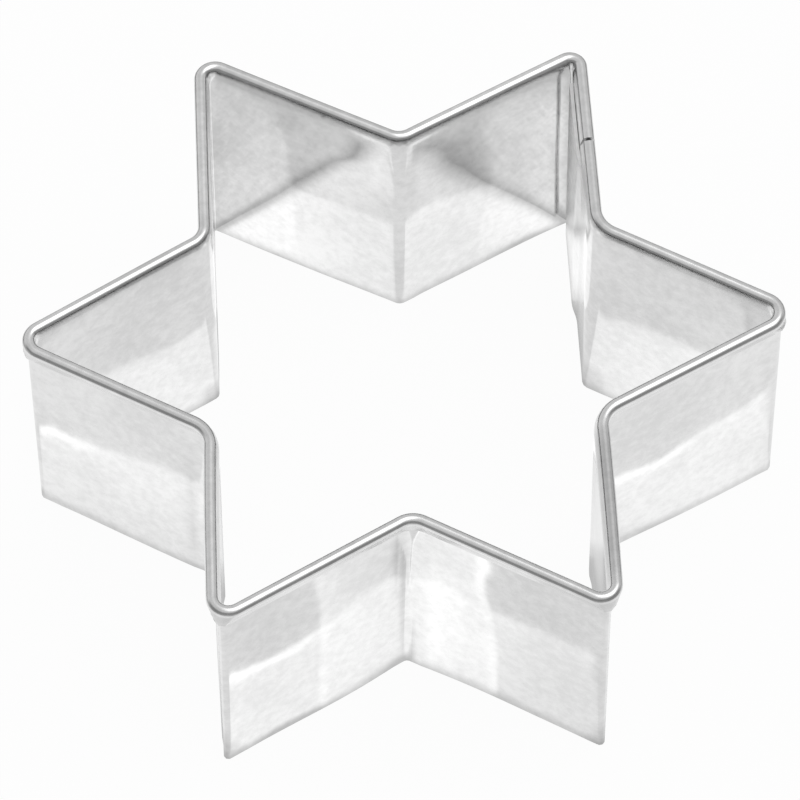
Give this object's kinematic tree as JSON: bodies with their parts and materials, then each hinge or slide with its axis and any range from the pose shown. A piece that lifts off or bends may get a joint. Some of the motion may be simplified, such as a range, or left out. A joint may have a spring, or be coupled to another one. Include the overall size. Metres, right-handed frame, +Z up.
{
  "type": "cookie cutter",
  "caption": "Star-shaped cookie cutter of tinned steel strip with a hemmed rim, closed by a spot-welded lap; pressed through rolled dough to stamp out a star",
  "frame": {"origin": "middle of the star, on the surface that the cutting edge rests on", "axes": "+Z up from the cutting edge to the hemmed rim, +X to the first tip, +Y to the valley between the two back tips; the lap is on the wall that runs from the first valley, at +X +Y, to the back right tip"},
  "size_m": [0.0661, 0.057, 0.0254],
  "materials": {
    "tinplate": "tinned steel sheet, soft satin reflections",
    "weld_metal": "resistance-welded steel, as welded"
  },
  "bodies": {
    "root": {"cutter_band": "tinplate", "spot_welds": "weld_metal"}
  },
  "joints": []
}
